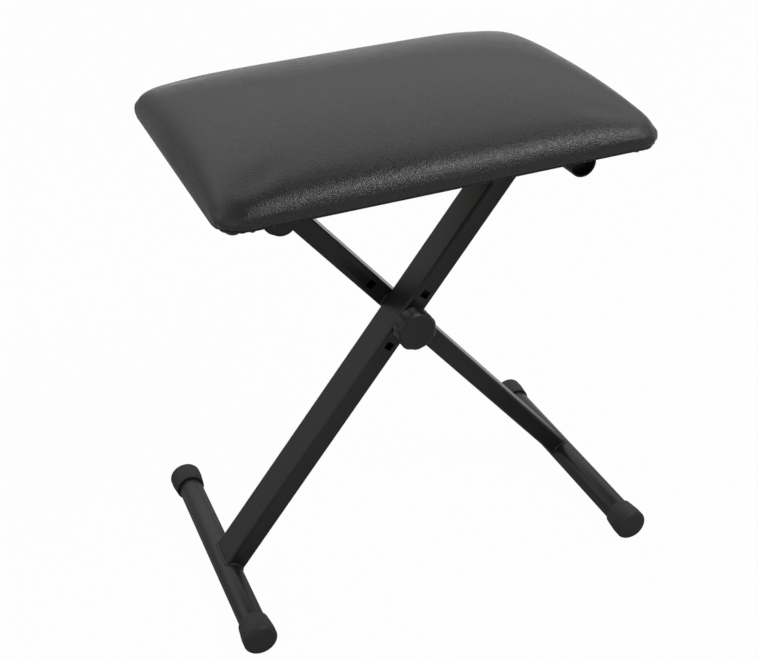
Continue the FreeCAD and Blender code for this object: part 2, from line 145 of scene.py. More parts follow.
def makePatchGroup():
    group, inside, outside = newTree("softPatches", [
        ("Patch Scale", "NodeSocketFloat", "INPUT", 14.0),
        ("Speck Scale", "NodeSocketFloat", "INPUT", 900.0),
        ("Low", "NodeSocketFloat", "INPUT", 0.4),
        ("High", "NodeSocketFloat", "INPUT", 0.6),
        ("Value", "NodeSocketFloat", "OUTPUT", None),
        ("Speck", "NodeSocketFloat", "OUTPUT", None)])
    place = group.nodes.new("ShaderNodeTexCoord").outputs["Object"]
    patches = addNode(group, "ShaderNodeTexNoise", Detail=patchLook["detail"],
                      Roughness=patchLook["roughness"])
    group.links.new(place, patches.inputs["Vector"])
    group.links.new(inside.outputs["Patch Scale"], patches.inputs["Scale"])
    span = group.nodes.new("ShaderNodeMapRange")
    group.links.new(patches.outputs["Fac"], span.inputs["Value"])
    span.inputs["From Min"].default_value = patchLook["darkest"]
    span.inputs["From Max"].default_value = patchLook["lightest"]
    group.links.new(inside.outputs["Low"], span.inputs["To Min"])
    group.links.new(inside.outputs["High"], span.inputs["To Max"])
    specks = addNode(group, "ShaderNodeTexNoise", Detail=patchLook["speckDetail"],
                     Roughness=patchLook["speckRoughness"])
    group.links.new(place, specks.inputs["Vector"])
    group.links.new(inside.outputs["Speck Scale"], specks.inputs["Scale"])
    group.links.new(span.outputs["Result"], outside.inputs["Value"])
    group.links.new(specks.outputs["Fac"], outside.inputs["Speck"])
    return group


grainGroup = makeGrainGroup()
patchGroup = makePatchGroup()


def useGroup(tree, group, **values):
    node = tree.nodes.new("ShaderNodeGroup")
    node.node_tree = group
    for key, value in values.items():
        node.inputs[key.replace("_", " ")].default_value = value
    return node


def newMaterial(name, **shader):
    material = bpy.data.materials.new(name)
    material.use_nodes = True
    principled = material.node_tree.nodes["Principled BSDF"]
    for key, value in shader.items():
        principled.inputs[key.replace("_", " ")].default_value = value
    return material, material.node_tree, principled


def bumpInto(tree, principled, height, strength, depth):
    bump = tree.nodes.new("ShaderNodeBump")
    bump.inputs["Strength"].default_value = strength
    bump.inputs["Distance"].default_value = depth
    tree.links.new(height, bump.inputs["Height"])
    tree.links.new(bump.outputs["Normal"], principled.inputs["Normal"])


# a plain finish: colour and gloss vary in patches, with fine specks in the normal
tintLook = dict(speck=0.4, patch=0.6, darkAt=0.25, lightAt=0.75)


def patchedMaterial(name, colours, gloss, patches, specks, bump, depth, **shader):
    material, tree, principled = newMaterial(name, **shader)
    low, high = gloss
    noises = useGroup(tree, patchGroup, Patch_Scale=patches, Speck_Scale=specks, Low=low, High=high)
    tree.links.new(noises.outputs["Value"], principled.inputs["Roughness"])
    tint = mathNode(tree, "ADD", mathNode(tree, "MULTIPLY", noises.outputs["Speck"], tintLook["speck"]),
                    mathNode(tree, "MULTIPLY", noises.outputs["Value"], tintLook["patch"]))
    dark, light = colours
    stops = [(tintLook["darkAt"], dark), (tintLook["lightAt"], light)]
    tree.links.new(ramp(tree, tint, stops), principled.inputs["Base Color"])
    bumpInto(tree, principled, noises.outputs["Speck"], bump, depth)
    return material


# pebble tops take the top colour; the darker crease colour is painted shade
vinylLook = dict(pebbles=760.0, crease=0.55, bump=0.5, depth=0.00022, patches=9.0, specks=420.0,
                 gloss=(0.23, 0.29), top=(0.046, 0.046, 0.048), creaseShade=(0.02, 0.02, 0.021))


def makeVinyl():
    material, tree, principled = newMaterial("blackVinyl", IOR=1.5)
    grain = useGroup(tree, grainGroup, Pebble_Scale=vinylLook["pebbles"], Crease=vinylLook["crease"])
    low, high = vinylLook["gloss"]
    patches = useGroup(tree, patchGroup, Patch_Scale=vinylLook["patches"], Speck_Scale=vinylLook["specks"],
                       Low=low, High=high)
    tree.links.new(patches.outputs["Value"], principled.inputs["Roughness"])
    # painted shade: the creases between the pebbles get a darker colour than the pebble tops
    stops = [(0.0, vinylLook["top"]), (1.0, vinylLook["creaseShade"])]
    tree.links.new(ramp(tree, grain.outputs["CreaseShade"], stops), principled.inputs["Base Color"])
    bumpInto(tree, principled, grain.outputs["Height"], vinylLook["bump"], vinylLook["depth"])
    return material


plywoodLook = dict(roughness=0.65, stretch=(2.2, 22.0, 22.0), rings=4.0, ringShare=0.75, fibres=60.0,
                   fibreShare=0.25, dark=(0.33, 0.2, 0.1), darkAt=0.34, light=(0.62, 0.45, 0.27),
                   lightAt=0.62, bump=0.25, depth=0.0003)


def makePlywood():
    material, tree, principled = newMaterial("plywood", Roughness=plywoodLook["roughness"])
    place = tree.nodes.new("ShaderNodeTexCoord").outputs["Object"]
    stretch = tree.nodes.new("ShaderNodeMapping")
    stretch.inputs["Scale"].default_value = plywoodLook["stretch"]
    tree.links.new(place, stretch.inputs["Vector"])
    rings = addNode(tree, "ShaderNodeTexNoise", Scale=plywoodLook["rings"], Detail=6.0, Roughness=0.62,
                    Distortion=1.2)
    tree.links.new(stretch.outputs[0], rings.inputs["Vector"])
    fibre = addNode(tree, "ShaderNodeTexNoise", Scale=plywoodLook["fibres"], Detail=3.0)
    tree.links.new(stretch.outputs[0], fibre.inputs["Vector"])
    both = mathNode(tree, "ADD", mathNode(tree, "MULTIPLY", rings.outputs["Fac"], plywoodLook["ringShare"]),
                    mathNode(tree, "MULTIPLY", fibre.outputs["Fac"], plywoodLook["fibreShare"]))
    stops = [(plywoodLook["darkAt"], plywoodLook["dark"]), (plywoodLook["lightAt"], plywoodLook["light"])]
    tree.links.new(ramp(tree, both, stops), principled.inputs["Base Color"])
    bumpInto(tree, principled, fibre.outputs["Fac"], plywoodLook["bump"], plywoodLook["depth"])
    return material


# colours run from dark to light, gloss is the span of roughness
finishes = {
    "black_powder_coat": dict(name="powderCoat", colours=((0.016, 0.016, 0.017), (0.026, 0.026, 0.027)),
                              gloss=(0.28, 0.38), patches=11.0, specks=1500.0, bump=0.25, depth=0.00012,
                              IOR=1.5),
    "cap_rubber": dict(name="capRubber", colours=((0.02, 0.02, 0.021), (0.034, 0.034, 0.035)),
                       gloss=(0.52, 0.66), patches=40.0, specks=1100.0, bump=0.35, depth=0.00015),
    "black_plastic": dict(name="blackPlastic", colours=((0.018, 0.018, 0.019), (0.028, 0.028, 0.029)),
                          gloss=(0.36, 0.5), patches=60.0, specks=1700.0, bump=0.3, depth=0.0001),
    "nylon": dict(name="nylon", colours=((0.03, 0.03, 0.031), (0.045, 0.045, 0.046)),
                  gloss=(0.45, 0.55), patches=50.0, specks=900.0, bump=0.2, depth=0.0001),
    "zinc_steel": dict(name="zincSteel", colours=((0.5, 0.5, 0.48), (0.72, 0.71, 0.68)),
                       gloss=(0.28, 0.42), patches=90.0, specks=700.0, bump=0.1, depth=0.0001, Metallic=1.0),
    "brass": dict(name="brass", colours=((0.55, 0.4, 0.16), (0.78, 0.6, 0.3)),
                  gloss=(0.25, 0.38), patches=90.0, specks=700.0, bump=0.1, depth=0.0001, Metallic=1.0),
}
materials = {slot: patchedMaterial(**finish) for slot, finish in finishes.items()}
materials["plywood"] = makePlywood()
materials["black_vinyl"] = makeVinyl()
print("materials made")


# meshes
samePoint = 0.002 * mm
flatAngle = 0.8


def addPiece(bm, name, material, angle=38, clean=True):
    if clean:
        bmesh.ops.remove_doubles(bm, verts=bm.verts, dist=samePoint)
        bmesh.ops.recalc_face_normals(bm, faces=bm.faces)
    mesh = bpy.data.meshes.new(name)
    bm.to_mesh(mesh)
    bm.free()
    piece = bpy.data.objects.new(name, mesh)
    scene.collection.objects.link(piece)
    mesh.materials.append(material)
    smoothByAngle(mesh, angle)
    return piece


def smoothByAngle(mesh, angle):
    for face in mesh.polygons:
        face.use_smooth = True
    mesh.set_sharp_from_angle(angle=math.radians(angle))


def meshNow(piece):
    return bpy.data.meshes.new_from_object(piece.evaluated_get(bpy.context.evaluated_depsgraph_get()))


def seatPiece(piece, body, slot, *replaced):
    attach(piece, body)
    if replaced:
        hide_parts(*replaced)
    return piece


def camel(node):
    first, *rest = node.split("_")
    return first + "".join(word.capitalize() for word in rest)


def bevelSharp(bm, width, segments, angle):
    sharp = [edge for edge in bm.edges if len(edge.link_faces) == 2
             and edge.calc_face_angle(0) > math.radians(angle)]
    bmesh.ops.bevel(bm, geom=sharp, offset=width, offset_type="OFFSET", segments=segments, profile=0.5,
                    affect="EDGES", clamp_overlap=True, material=-1)


# a node's own shape with its edges broken, as paint and moulding leave them
def dressNode(node, slot, bevel, segments, angle=28):
    bm = bmesh.new()
    bm.from_mesh(nodes[node].data)
    bmesh.ops.remove_doubles(bm, verts=bm.verts, dist=samePoint)
    bmesh.ops.dissolve_limit(bm, angle_limit=math.radians(flatAngle), verts=bm.verts, edges=bm.edges)
    bevelSharp(bm, bevel * mm, segments, angle)
    piece = addPiece(bm, camel(node), materials[slot])
    return seatPiece(piece, bodyOf[node], slot, node)


def spinProfile(bm, profile, steps):
    # profile points are (radius, along Y), turned about the Y axis
    centre = Vector((0, 0, 0))
    base = [bm.verts.new(centre + Vector((radius, along, 0))) for radius, along in profile]
    edges = [bm.edges.new(pair) for pair in zip(base, base[1:])]
    bmesh.ops.spin(bm, geom=base + edges, cent=centre, axis=(0, 1, 0), angle=2 * math.pi, steps=steps,
                   use_merge=True)


def loopPoints(halfX, halfY, radius, spacing, fewest=12):
    # points along a rounded rectangle, evenly spaced, with the outward direction at each
    pieces = []
    for turn, (signX, signY) in enumerate(((1, 1), (-1, 1), (-1, -1), (1, -1))):
        centre = Vector((signX * (halfX - radius), signY * (halfY - radius), 0))
        pieces.append(("arc", centre, turn * math.pi / 2, radius * math.pi / 2))
        straight = 2 * (halfX - radius) if turn % 2 == 0 else 2 * (halfY - radius)
        pieces.append(("line", centre, (turn + 1) * math.pi / 2, straight))
    total = sum(piece[3] for piece in pieces)
    count = max(fewest, round(total / spacing))
    points = []
    for index in range(count):
        travel = index * total / count
        for kind, centre, start, length in pieces:
            if travel <= length:
                break
            travel -= length
        turn = start + (travel / radius if kind == "arc" else 0)
        out = Vector((math.cos(turn), math.sin(turn), 0))
        along = Vector((-math.sin(turn), math.cos(turn), 0))
        spot = centre + out * radius + (along * travel if kind == "line" else Vector())
        points.append((spot, out, along))
    return points


# frame tubes, caps, plugs and hardware that keep their own shape
dressing = [
    dict(nodes=("front_leg_tube", "rear_leg_tube"), slot="black_powder_coat", bevel=0.35, segments=2),
    dict(nodes=("front_foot_tube", "rear_foot_tube", "front_cross_tube", "rear_cross_tube"),
         slot="black_powder_coat", bevel=0.3, segments=2),
    dict(nodes=("pivot_saddle_front", "pivot_saddle_back", "hook_saddle_front", "hook_saddle_back"),
         slot="black_powder_coat", bevel=0.35, segments=2),
    dict(nodes=("pivot_pad_front", "pivot_pad_back", "hook_pad_front", "hook_pad_back"),
         slot="nylon", bevel=0.3, segments=2),
    dict(nodes=("front_foot_cap_front", "front_foot_cap_back", "rear_foot_cap_front", "rear_foot_cap_back"),
         slot="cap_rubber", bevel=0.7, segments=3),
    dict(nodes=("front_tube_plug_front", "front_tube_plug_back", "rear_tube_plug_front",
                "rear_tube_plug_back"), slot="black_plastic", bevel=0.5, segments=3),
    dict(nodes=("leg_spacer",), slot="nylon", bevel=0.2, segments=2),
    dict(nodes=("knob_washer",), slot="zinc_steel", bevel=0.25, segments=2),
    dict(nodes=("knob_insert",), slot="brass", bevel=0.2, segments=1),
    dict(nodes=("seat_board",), slot="plywood", bevel=0.3, segments=1),
]
for part in dressing:
    for nodeName in part["nodes"]:
        dressNode(nodeName, part["slot"], part["bevel"], part["segments"])


# the fluted grip, and a smooth dished face pressed into its front
knobLook = dict(bevel=0.8, segments=3, angle=40, grow=2.4, inner=11.0, blend=3.0, face=14.7, dish=0.9,
                dishEdge=1.2, dishSteps=8, rim=0.5, rimEdge=0.6, rimRise=0.3, steps=64)


def makeKnob():
    grip = dressNode("knob_grip", "black_plastic", knobLook["bevel"], knobLook["segments"], knobLook["angle"])
    for vert in grip.data.vertices:
        arm = Vector((vert.co.x - crossing.x, 0, vert.co.z - crossing.z))
        share = min(max((arm.length - knobLook["inner"] * mm) / (knobLook["blend"] * mm), 0), 1)
        vert.co += arm.normalized() * knobLook["grow"] * mm * share
    low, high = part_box("knob_face")
    face, rim, dish = knobLook["face"] * mm, knobLook["rim"] * mm, knobLook["dish"] * mm
    profile = [(0, low.y + dish)]
    for step in range(1, knobLook["dishSteps"] + 1):
        share = step / knobLook["dishSteps"]
        profile.append(((face - knobLook["dishEdge"] * mm) * share, low.y + dish * (1 - share ** 2)))
    profile.append((face - knobLook["rimEdge"] * mm, low.y - rim * knobLook["rimRise"]))
    profile += [(face, low.y), (face, high.y), (0, high.y)]
    bm = bmesh.new()
    spinProfile(bm, profile, knobLook["steps"])
    bmesh.ops.translate(bm, verts=bm.verts, vec=(crossing.x, 0, crossing.z))
    piece = addPiece(bm, "knobFace", materials["black_plastic"], knobLook["angle"])
    seatPiece(piece, "knob", "black_plastic", "knob_face")


makeKnob()
print("frame parts dressed")


# weld beads where the legs meet their round tubes
weldLook = dict(bead=1.5, rings=3, ripple=2.3, halfWidth=19.0, halfDepth=10.0, corner=3.0, tube=12.7,
                step=1.1, wander=0.4, wanderScale=300, thin=0.85, swell=0.2, lump=0.15, lumpScale=120,
                angle=60)


def weldBead(name, leg, tubeNode, legNode):
    centre = middle(tubeNode)
    along = Vector((crossing.x - centre.x, 0, crossing.z - centre.z)).normalized()
    across = Vector((-along.z, 0, along.x))
    legY = middle(legNode).y
    loop = loopPoints(weldLook["halfWidth"] * mm, weldLook["halfDepth"] * mm, weldLook["corner"] * mm,
                      weldLook["step"] * mm)
    curve = bpy.data.curves.new(name, "CURVE")
    curve.dimensions = "3D"
    curve.bevel_depth = weldLook["bead"] * mm
    curve.bevel_resolution = weldLook["rings"]
    spline = curve.splines.new("POLY")
    spline.points.add(len(loop) - 1)
    spline.use_cyclic_u = True
    reach = weldLook["tube"] * mm
    for index, (spot, _, _) in enumerate(loop):
        lift = math.sqrt(max(reach ** 2 - spot.y ** 2, 0))
        place = centre + along * lift + across * spot.y
        place.y = legY + spot.x
        place += Vector((0, noise.noise(place * weldLook["wanderScale"]) * weldLook["wander"] * mm, 0))
        spline.points[index].co = (*place, 1)
        wave = 0.5 + 0.5 * math.cos(index * weldLook["step"] / weldLook["ripple"] * 2 * math.pi)
        lump = weldLook["lump"] * noise.noise(place * weldLook["lumpScale"])
        spline.points[index].radius = weldLook["thin"] + weldLook["swell"] * wave + lump
    rope = bpy.data.objects.new(name + "Path", curve)
    scene.collection.objects.link(rope)
    mesh = meshNow(rope)
    bpy.data.objects.remove(rope)
    bm = bmesh.new()
    bm.from_mesh(mesh)
    piece = addPiece(bm, name, materials["black_powder_coat"], weldLook["angle"])
    seatPiece(piece, leg, "black_powder_coat")


for leg in ("front", "rear"):
    for tube in ("foot", "cross"):
        weldBead("%s%sWeld" % (leg, tube.capitalize()), leg + "_leg", "%s_%s_tube" % (leg, tube),
                 leg + "_leg_tube")
print("welds laid")


# carriage bolt: rolled thread at its tip, square neck, domed head
boltLook = dict(radius=3.95, root=3.45, pitch=1.25, threads=30.0, crest=(0.4, 0.6), runout=0.5, tip=0.9,
                neck=7.9, neckLength=5.0, headRadius=9.6, headHeight=4.6, headEdge=0.3, domeSteps=12,
                steps=48, angle=30)


def pivotBolt():
    low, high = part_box("pivot_bolt")
    tip, top = low.y, high.y
    face = top - boltLook["headHeight"] * mm
    radius, root, pitch = boltLook["radius"] * mm, boltLook["root"] * mm, boltLook["pitch"] * mm
    profile = [(0, tip), (root - boltLook["tip"] * mm, tip), (root, tip + boltLook["tip"] * mm)]
    crestStart, crestEnd = boltLook["crest"]
    for turn in range(int(boltLook["threads"] * mm / pitch)):
        start = tip + boltLook["tip"] * mm + turn * pitch
        profile += [(radius, start + crestStart * pitch), (radius, start + crestEnd * pitch),
                    (root, start + pitch)]
    profile += [(radius, profile[-1][1] + boltLook["runout"] * pitch), (radius, face)]
    headRadius, headHeight = boltLook["headRadius"] * mm, boltLook["headHeight"] * mm
    edge = boltLook["headEdge"] * mm
    profile += [(headRadius - edge, face), (headRadius, face + edge)]
    for step in range(1, boltLook["domeSteps"] + 1):
        turn = math.pi / 2 * step / boltLook["domeSteps"]
        profile.append((headRadius * math.cos(turn), face + edge + (headHeight - edge) * math.sin(turn)))
    bm = bmesh.new()
    spinProfile(bm, profile, boltLook["steps"])
    for vert in bm.verts:
        vert.co += Vector((crossing.x, 0, crossing.z))
    neck = bmesh.ops.create_cube(bm, size=1)["verts"]
    side = boltLook["neck"] * mm
    bmesh.ops.scale(bm, vec=(side, boltLook["neckLength"] * mm, side), verts=neck)
    foot, cross = middle("rear_foot_tube"), middle("rear_cross_tube")
    slope = math.atan2(cross.z - foot.z, cross.x - foot.x)
    bmesh.ops.rotate(bm, verts=neck, cent=(0, 0, 0), matrix=Matrix.Rotation(-slope, 3, "Y"))
    neckY = face - boltLook["neckLength"] * mm / 2
    bmesh.ops.translate(bm, verts=neck, vec=(crossing.x, neckY, crossing.z))
    piece = addPiece(bm, "pivotBolt", materials["zinc_steel"], boltLook["angle"])
    seatPiece(piece, "bolt", "zinc_steel", "pivot_bolt")


pivotBolt()


# pan-head screws with a cross recess; crown points are (in from the rim, up from the face)
screwLook = dict(head=5.6, height=3.2, crown=((1.6, 0), (0.6, 0.4), (0.1, 1.3)), edge=0.3, shank=2.9,
                 reach=15.2, point=2, recess=1.1, recessLength=3.1, recessDepth=1.7, recessFloor=0.75,
                 steps=32, level=0.01, angle=30)


def screwSpots():
    # the middle of each screw's face, one for each loose island of the node
    islands = bmesh.new()
    islands.from_mesh(nodes["saddle_screws"].data)
    bmesh.ops.remove_doubles(islands, verts=islands.verts, dist=samePoint)
    islands.verts.ensure_lookup_table()
    spots, seen = [], set()
    for vert in islands.verts:
        if vert in seen:
            continue
        group, queue = [], [vert]
        seen.add(vert)
        while queue:
            item = queue.pop()
            group.append(item.co)
            for edge in item.link_edges:
                other = edge.other_vert(item)
                if other not in seen:
                    seen.add(other)
                    queue.append(other)
        lowX, lowY, lowZ = (min(point[axis] for point in group) for axis in range(3))
        highX, highY = (max(point[axis] for point in group) for axis in range(2))
        spots.append(Vector(((lowX + highX) / 2, (lowY + highY) / 2, lowZ)))
    islands.free()
    return spots


def cutRecess(bm):
    # a cross-shaped pocket, narrower at its floor, in the open middle of the head
    rim = [edge for edge in bm.edges
           if edge.is_boundary and max(abs(vert.co.z) for vert in edge.verts) < screwLook["level"] * mm]
    wide, long = screwLook["recess"] / 2 * mm, screwLook["recessLength"] * mm
    cross = []
    for quarter in range(4):
        spin = Matrix.Rotation(quarter * math.pi / 2, 3, "Z")
        cross += [spin @ Vector(corner) for corner in ((long, -wide, 0), (long, wide, 0), (wide, wide, 0))]
    shrink, depth = screwLook["recessFloor"], screwLook["recessDepth"] * mm
    mouth = [bm.verts.new(point) for point in cross]
    floor = [bm.verts.new((point.x * shrink, point.y * shrink, depth)) for point in cross]
    for index in range(len(cross)):
        after = (index + 1) % len(cross)
        bm.faces.new((mouth[index], mouth[after], floor[after], floor[index]))
    bm.faces.new(floor)
    lip = [bm.edges.get((mouth[index], mouth[(index + 1) % len(cross)])) for index in range(len(cross))]
    bmesh.ops.triangle_fill(bm, use_beauty=True, edges=rim + lip)


def screwMesh():
    head, height, shank, edge = (screwLook[key] * mm for key in ("head", "height", "shank", "edge"))
    profile = [(head - inset * mm, rise * mm) for inset, rise in screwLook["crown"]]
    profile += [(head, height - edge), (head - edge, height), (shank, height),
                (shank, (screwLook["reach"] - screwLook["point"]) * mm), (0, screwLook["reach"] * mm)]
    bm = bmesh.new()
    spinProfile(bm, profile, screwLook["steps"])
    bmesh.ops.rotate(bm, verts=bm.verts, cent=(0, 0, 0), matrix=Matrix.Rotation(math.pi / 2, 3, "X"))
    bmesh.ops.remove_doubles(bm, verts=bm.verts, dist=samePoint)
    cutRecess(bm)
    mesh = bpy.data.meshes.new("screw")
    bm.to_mesh(mesh)
    bm.free()
    return mesh


def saddleScrews():
    spots, mesh = screwSpots(), screwMesh()
    draw = random.Random(5)
    bm = bmesh.new()
    for spot in spots:
        start = len(bm.verts)
        bm.from_mesh(mesh)
        bm.verts.ensure_lookup_table()
        fresh = bm.verts[start:]
        spin = Matrix.Rotation(draw.uniform(0, 1.5), 3, "Z")
        bmesh.ops.rotate(bm, verts=fresh, cent=(0, 0, 0), matrix=spin)
        bmesh.ops.translate(bm, verts=fresh, vec=spot)
    piece = addPiece(bm, "saddleScrews", materials["zinc_steel"], screwLook["angle"])
    seatPiece(piece, "seat", "zinc_steel", "saddle_screws")


saddleScrews()
print("bolt and screws made")


# cushion: foam under a stretched vinyl cover, with a fuller roll at both ends
cushion = dict(corner=28.0, sharpest=0.5, tuck=3.0, edge=7.5, roll=22.5, turn=70.0, sidePower=2, endRoll=31.0,
               endTurn=78.0, endPower=4, crown=23.0, blend=1.1, cell=3.2, rings=9, topRings=5, shrink=1.0,
               floor=1.3, floorShare=0.995, wall=(0.25, 0.5, 0.75, 1.0), softFrom=12.0, passes=14)
stretchLook = dict(pressure=4.0, frames=20, cap=1.2, stapled=4.0, stiffness=25, bending=1.5, quality=6)
pleatLook = dict(depth=0.8, folds=9, height=15.0, start=0.6, fade=1.3, right=2.0, left=0.4, back=0.9,
                 wave=0.6, rough=0.6, roughScale=9, middle=0.5)


def rollShape(inset, half, tall, turn, power):
    # height over the widest line as a share of the full rise, for one pair of sides
    roll, turn = cushion["roll"] * mm, math.radians(turn)
    total = roll * math.sin(math.radians(cushion["turn"])) + cushion["crown"] * mm
    shoulder = roll * (1 - math.cos(turn))
    if inset < shoulder:
        return tall * math.sin(math.acos(max(1 - inset / roll, -1))) / total
    share = min((inset - shoulder) / (half - shoulder), 1)
    top = tall * math.sin(turn)
    return (top + (total - top) * (1 - (1 - share) ** power)) / total


def lineInset(index, count, insets, half):
    # how far a grid line lies in from the edge
    last = len(insets) - 1
    ring = min(index, count - index)
    if ring < last:
        return insets[ring]
    return half - (half - insets[last]) * (1 - 2 * (ring - last) / (count - 2 * last))


def ringPlace(i, j, columns, rows, insets, halfX, halfY):
    # a grid point laid on rounded rings near the edge and on a plain grid inside them
    ring = min(i, j, columns - i, rows - j)
    last = len(insets) - 1
    if ring >= last:
        reachX, reachY = halfX - insets[last], halfY - insets[last]
        return (reachX * ((i - last) / (columns - 2 * last) * 2 - 1),
                reachY * ((j - last) / (rows - 2 * last) * 2 - 1))
    inset = insets[ring]
    radius = max(cushion["corner"] * mm - inset, cushion["sharpest"] * mm)
    wide, deep = halfX - inset - radius, halfY - inset - radius
    flip = ring not in (j, rows - j)
    share = (j - ring) / (rows - 2 * ring) if flip else (i - ring) / (columns - 2 * ring)
    straight, side = (deep, wide) if flip else (wide, deep)
    travel = (share * 2 - 1) * (straight + math.pi / 4 * radius)
    turn = max(abs(travel) - straight, 0) / radius
    along = math.copysign(min(abs(travel), straight) + radius * math.sin(turn), travel)
    out = side + radius * math.cos(turn)
    if flip:
        return (-out if i == ring else out), along
    return along, (-out if j == ring else out)


def cushionTop(bm, columns, rows, insets, halfX, halfY, edgeZ):
    # the rolled and crowned top, as grid points
    roll, blend = cushion["roll"] * mm, cushion["blend"]
    total = roll * math.sin(math.radians(cushion["turn"])) + cushion["crown"] * mm
    ends = [rollShape(lineInset(i, columns, insets, halfX), halfX, cushion["endRoll"] * mm,
                      cushion["endTurn"], cushion["endPower"]) for i in range(columns + 1)]
    sides = [rollShape(lineInset(j, rows, insets, halfY), halfY, roll, cushion["turn"],
                       cushion["sidePower"]) for j in range(rows + 1)]
    grid = {}
    for i, end in enumerate(ends):
        for j, side in enumerate(sides):
            x, y = ringPlace(i, j, columns, rows, insets, halfX, halfY)
            height = 0
            if end > 0.001 and side > 0.001:
                height = total * (end ** -blend + side ** -blend - 1) ** (-1 / blend)
            grid[i, j] = bm.verts.new((x, y, edgeZ + height - cushion["shrink"] * mm))
    return grid


def cushionUnder(bm, grid, columns, rows, halfX, halfY, edgeZ, floorZ):
    # the flat underside, and the wall that tucks in below the widest line
    shrink, tuck, corner = cushion["shrink"] * mm, cushion["tuck"] * mm, cushion["corner"] * mm
    lower = {}
    for (i, j), vert in list(grid.items()):
        spot = vert.co
        if 0 < i < columns and 0 < j < rows:
            share = cushion["floorShare"]
            lower[i, j] = [bm.verts.new((spot.x * share, spot.y * share, floorZ))]
            continue
        away = Vector((max(abs(spot.x) - halfX + corner, 0), max(abs(spot.y) - halfY + corner, 0), 0))
        away.normalize()
        out = Vector((math.copysign(away.x, spot.x), math.copysign(away.y, spot.y), 0))
        chain = [vert]
        for share in cushion["wall"]:
            place = spot - out * tuck * share ** 2
            place.z = edgeZ - shrink + (floorZ - edgeZ + shrink) * share
            chain.append(bm.verts.new(place))
        lower[i, j] = chain
    return lower


def cushionBlank(low, high):
    shrink = cushion["shrink"] * mm
    halfX, halfY = (high.x - low.x) / 2 - shrink, (high.y - low.y) / 2 - shrink
    roll, edgeZ = cushion["roll"] * mm, low.z + cushion["edge"] * mm
    angles = [math.radians(cushion["turn"]) * step / cushion["rings"] for step in range(cushion["rings"] + 1)]
    insets = [roll * (1 - math.cos(angle)) for angle in angles]
    for step in range(cushion["topRings"]):
        insets.append(insets[-1] + cushion["cell"] * mm)
    columns, rows = (round(2 * half / (cushion["cell"] * mm)) // 2 * 2 for half in (halfX, halfY))
    bm = bmesh.new()
    grid = cushionTop(bm, columns, rows, insets, halfX, halfY, edgeZ)
    lower = cushionUnder(bm, grid, columns, rows, halfX, halfY, edgeZ, low.z + cushion["floor"] * mm)
    for i in range(columns):
        for j in range(rows):
            keys = ((i, j), (i + 1, j), (i + 1, j + 1), (i, j + 1))
            bm.faces.new([grid[key] for key in keys])
            bm.faces.new([lower[key][-1] for key in reversed(keys)])
    border = ([(i, 0) for i in range(columns)] + [(columns, j) for j in range(rows)]
              + [(i, rows) for i in range(columns, 0, -1)] + [(0, j) for j in range(rows, 0, -1)])
    for first, second in zip(border, border[1:] + border[:1]):
        here, there = lower[first], lower[second]
        for step in range(len(cushion["wall"])):
            bm.faces.new((here[step], here[step + 1], there[step + 1], there[step]))
    return bm


def inflate(piece, low):
    rest = [vert.co.copy() for vert in piece.data.vertices]
    pinned = piece.vertex_groups.new(name="stapled")
    pinned.add([i for i, co in enumerate(rest) if co.z < low.z + stretchLook["stapled"] * mm], 1.0, "REPLACE")
    cloth = piece.modifiers.new("stretch", "CLOTH")
    settings = cloth.settings
    settings.vertex_group_mass = "stapled"
    settings.use_pressure = True
    settings.uniform_pressure_force = stretchLook["pressure"]
    settings.tension_stiffness = settings.compression_stiffness = stretchLook["stiffness"]
    settings.bending_stiffness = stretchLook["bending"]
    settings.quality = stretchLook["quality"]
    settings.effector_weights.gravity = 0
    for number in range(1, stretchLook["frames"] + 1):
        scene.frame_set(number)
    swollen = meshNow(piece)
    piece.modifiers.remove(cloth)
    limit = stretchLook["cap"] * mm
    for vert, start, end in zip(piece.data.vertices, rest, swollen.vertices):
        move = end.co - start
        if move.length > limit:
            move *= limit / move.length
        vert.co = start + move
    scene.frame_set(1)


def fitBox(bm, low, high):
    # back to the size the cover has
    spots = [vert.co for vert in bm.verts]
    halfX, halfY = (max(abs(spot[axis]) for spot in spots) for axis in range(2))
    top = max(spot.z for spot in spots)
    for vert in bm.verts:
        rise = max(vert.co.z - low.z - cushion["edge"] * mm, 0)
        span = top - low.z - cushion["edge"] * mm
        vert.co.x *= high.x / halfX
        vert.co.y *= high.y / halfY
        vert.co.z += (high.z - top) * rise / span


def gatherCorners(bm, low, high):
    # short folds fan up from the stapled edge at each corner
    radius = cushion["corner"] * mm
    for vert in bm.verts:
        x, y, z = vert.co
        cornerX, cornerY = abs(x) - (high.x - radius), abs(y) - (high.y - radius)
        far = math.hypot(max(cornerX, 0), max(cornerY, 0))
        if cornerX < 0 or cornerY < 0 or far < radius * pleatLook["start"]:
            continue
        turn = math.atan2(cornerY, cornerX)
        fade = max(0, 1 - (z - low.z) / (pleatLook["height"] * mm)) ** pleatLook["fade"]
        phase = pleatLook["right"] if x > 0 else pleatLook["left"]
        phase += pleatLook["back"] if y > 0 else 0
        fold = math.sin(turn * pleatLook["folds"] * 4 + phase) * pleatLook["wave"]
        fold += noise.noise(Vector((turn * pleatLook["roughScale"], phase, 0))) * pleatLook["rough"]
        out = Vector((math.copysign(math.cos(turn), x), math.copysign(math.sin(turn), y), 0))
        depth = pleatLook["depth"] * mm * (fold - pleatLook["middle"]) * fade * math.sin(turn * 2)
        vert.co += out * depth


